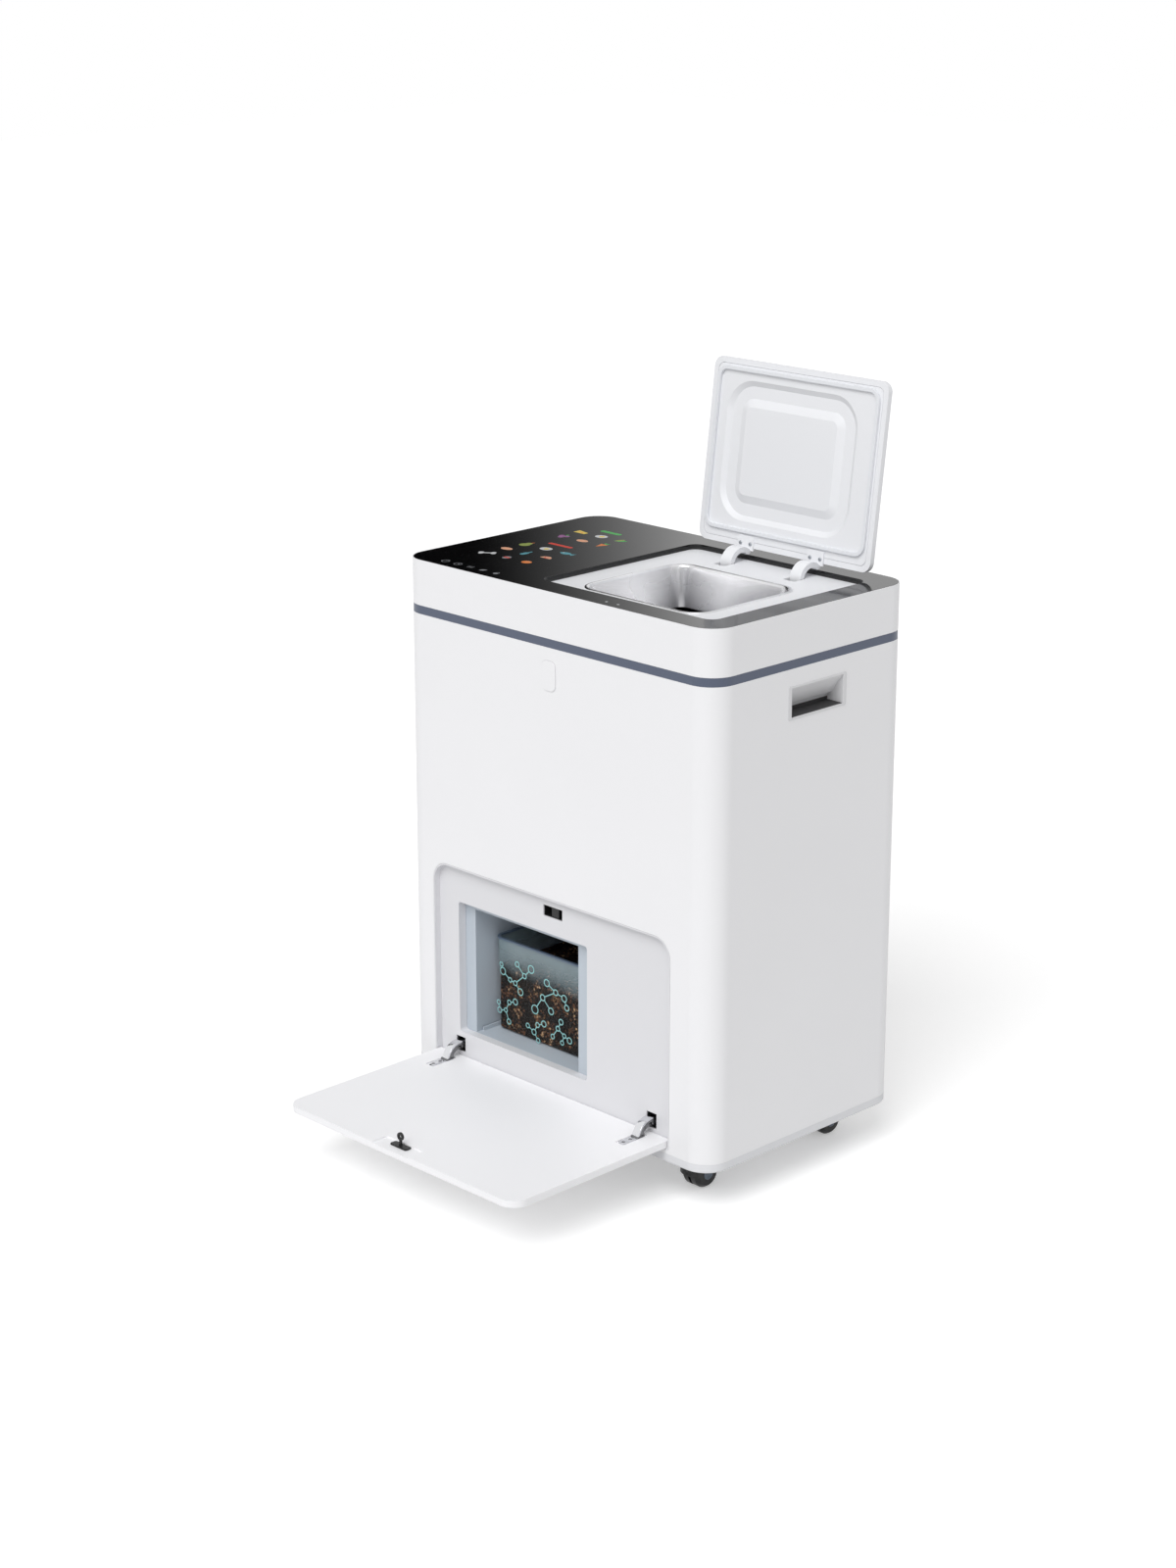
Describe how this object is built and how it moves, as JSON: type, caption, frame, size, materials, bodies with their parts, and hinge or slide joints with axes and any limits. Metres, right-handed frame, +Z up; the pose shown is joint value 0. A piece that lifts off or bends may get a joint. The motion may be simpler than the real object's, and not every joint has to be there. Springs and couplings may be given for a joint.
{
  "type": "electric food waste composter",
  "caption": "Cabinet on casters with a lidded hopper, a heated trough with turning paddles, and a compost bin behind a fold-down door.",
  "frame": {"origin": "on the floor under the middle of the cabinet", "axes": "+Z up, +Y from the front to the back, +X to the right seen from the front"},
  "size_m": [0.5616, 0.6342, 1.0122],
  "materials": {
    "shell_white": "fine satin moulded plastic, off-white",
    "base_grey": "moulded plastic, light grey",
    "band_blue": "satin moulded plastic, blue-grey",
    "glass_black": "polished opaque black glass",
    "carrier_black": "matte black plastic",
    "deck_white": "smooth white plastic",
    "stainless": "satin stainless sheet",
    "lid_white": "smooth white plastic",
    "gasket_grey": "soft pale seal",
    "bay_white": "satin white plastic",
    "liner_blue": "smooth pale blue-grey plastic",
    "door_white": "smooth white plastic",
    "chrome": "bright chrome plating",
    "black_gloss": "glossy black plastic",
    "bin_clear": "tinted clear plastic",
    "bin_blue": "smooth blue-grey plastic",
    "compost": "dry brown compost crumbs, loose fill",
    "handle_grey": "satin light grey plastic",
    "zinc_steel": "zinc-plated sheet and bar",
    "heater_amber": "silicone heating pad",
    "seal_black": "black shaft seal rubber",
    "bearing_grey": "painted cast housing",
    "gear_steel": "machined steel, oiled",
    "motor_grey": "die-cast housing",
    "board_green": "circuit board",
    "filter_dark": "moulded filter housing"
  },
  "bodies": {
    "cabinet": {"body_shell": "shell_white", "base_tray": "base_grey", "rear_cover": "shell_white", "stripe_band": "band_blue", "top_cap": "shell_white", "glass_panel": "glass_black", "panel_carrier": "carrier_black", "hopper_deck": "deck_white", "hopper_funnel": "stainless", "front_badge": "shell_white", "door_bay_panel": "bay_white", "bin_bay_liner": "liner_blue", "catch_housing": "carrier_black", "handle_left": "handle_grey", "handle_right": "handle_grey", "inner_frame": "zinc_steel", "trough_shell": "stainless", "trough_end_plates": "stainless", "trough_cover": "stainless", "heater_pads": "heater_amber", "shaft_bearings": "bearing_grey", "shaft_seals": "seal_black", "gearmotor": "motor_grey", "motor_bracket": "zinc_steel", "discharge_chute": "base_grey", "gate_actuator": "carrier_black", "filter_canister": "filter_dark", "fan_housing": "carrier_black", "control_board": "board_green", "touch_board": "board_green", "power_inlet": "black_gloss", "lid_hinge_brackets": "deck_white", "caster_plates": "zinc_steel"},
    "lid": {"lid_shell": "lid_white", "lid_inner": "lid_white", "lid_gasket": "gasket_grey", "lid_arms": "lid_white"},
    "front_door": {"door_panel": "door_white", "door_arms": "chrome", "door_hinge_pins": "zinc_steel", "door_striker": "black_gloss"},
    "compost_bin": {"bin_tub": "bin_clear", "bin_rim": "bin_blue", "compost_fill": "compost"},
    "agitator": {"agitator_shaft": "stainless", "paddle_arms": "stainless", "drive_gear": "gear_steel"},
    "pinion": {"motor_pinion": "gear_steel"},
    "gate": {"discharge_gate": "stainless"},
    "fan": {"fan_rotor": "black_gloss"},
    "catch": {"catch_hook": "carrier_black"},
    "mains_switch": {"rocker_switch": "black_gloss"},
    "caster_front_left": {"caster_hood_front_left": "black_gloss"},
    "wheels_front_left": {"caster_wheels_front_left": "black_gloss"},
    "caster_front_right": {"caster_hood_front_right": "black_gloss"},
    "wheels_front_right": {"caster_wheels_front_right": "black_gloss"},
    "caster_rear_left": {"caster_hood_rear_left": "black_gloss"},
    "wheels_rear_left": {"caster_wheels_rear_left": "black_gloss"},
    "caster_rear_right": {"caster_hood_rear_right": "black_gloss"},
    "wheels_rear_right": {"caster_wheels_rear_right": "black_gloss"}
  },
  "joints": [
    {"name": "lid_hinge", "type": "hinge", "parent": "cabinet", "child": "lid", "pos_m": [0, 0.1284, 0.7457], "axis": [1, 0, 0], "range_deg": [0, 97]},
    {"name": "door_hinge", "type": "hinge", "parent": "cabinet", "child": "front_door", "pos_m": [0, -0.1774, 0.0819], "axis": [-1, 0, 0], "range_deg": [0, 90]},
    {"name": "bin_slide", "type": "slide", "parent": "cabinet", "child": "compost_bin", "axis": [0, 1, 0], "range_m": [-0.19, 0]},
    {"name": "agitator_spin", "type": "hinge", "parent": "cabinet", "child": "agitator", "pos_m": [0, 0, 0.455], "axis": [1, 0, 0], "continuous": true},
    {"name": "pinion_spin", "type": "hinge", "parent": "cabinet", "child": "pinion", "pos_m": [0, 0, 0.362], "axis": [1, 0, 0], "continuous": true},
    {"name": "gate_slide", "type": "slide", "parent": "cabinet", "child": "gate", "axis": [0, 1, 0], "range_m": [0, 0.09]},
    {"name": "fan_spin", "type": "hinge", "parent": "cabinet", "child": "fan", "pos_m": [-0.17, 0, 0.642], "axis": [0, 1, 0], "continuous": true},
    {"name": "catch_slide", "type": "slide", "parent": "cabinet", "child": "catch", "axis": [-1, 0, 0], "range_m": [0, 0.0035], "stiffness_N_per_m": 200},
    {"name": "switch_rock", "type": "hinge", "parent": "cabinet", "child": "mains_switch", "pos_m": [-0.18, 0.1795, 0.164], "axis": [-1, 0, 0], "range_deg": [0, 16]},
    {"name": "swivel_front_left", "type": "hinge", "parent": "cabinet", "child": "caster_front_left", "pos_m": [-0.2, -0.12, 0], "axis": [0, 0, 1], "continuous": true},
    {"name": "roll_front_left", "type": "hinge", "parent": "caster_front_left", "child": "wheels_front_left", "pos_m": [-0.2, -0.11, 0.02], "axis": [1, 0, 0], "continuous": true},
    {"name": "swivel_front_right", "type": "hinge", "parent": "cabinet", "child": "caster_front_right", "pos_m": [0.2, -0.12, 0], "axis": [0, 0, 1], "continuous": true},
    {"name": "roll_front_right", "type": "hinge", "parent": "caster_front_right", "child": "wheels_front_right", "pos_m": [0.2, -0.11, 0.02], "axis": [1, 0, 0], "continuous": true},
    {"name": "swivel_rear_left", "type": "hinge", "parent": "cabinet", "child": "caster_rear_left", "pos_m": [-0.2, 0.12, 0], "axis": [0, 0, 1], "continuous": true},
    {"name": "roll_rear_left", "type": "hinge", "parent": "caster_rear_left", "child": "wheels_rear_left", "pos_m": [-0.2, 0.13, 0.02], "axis": [1, 0, 0], "continuous": true},
    {"name": "swivel_rear_right", "type": "hinge", "parent": "cabinet", "child": "caster_rear_right", "pos_m": [0.2, 0.12, 0], "axis": [0, 0, 1], "continuous": true},
    {"name": "roll_rear_right", "type": "hinge", "parent": "caster_rear_right", "child": "wheels_rear_right", "pos_m": [0.2, 0.13, 0.02], "axis": [1, 0, 0], "continuous": true}
  ],
  "couplings": [
    {"joint": "pinion_spin", "follows": "agitator_spin", "ratio": -3.4286}
  ]
}
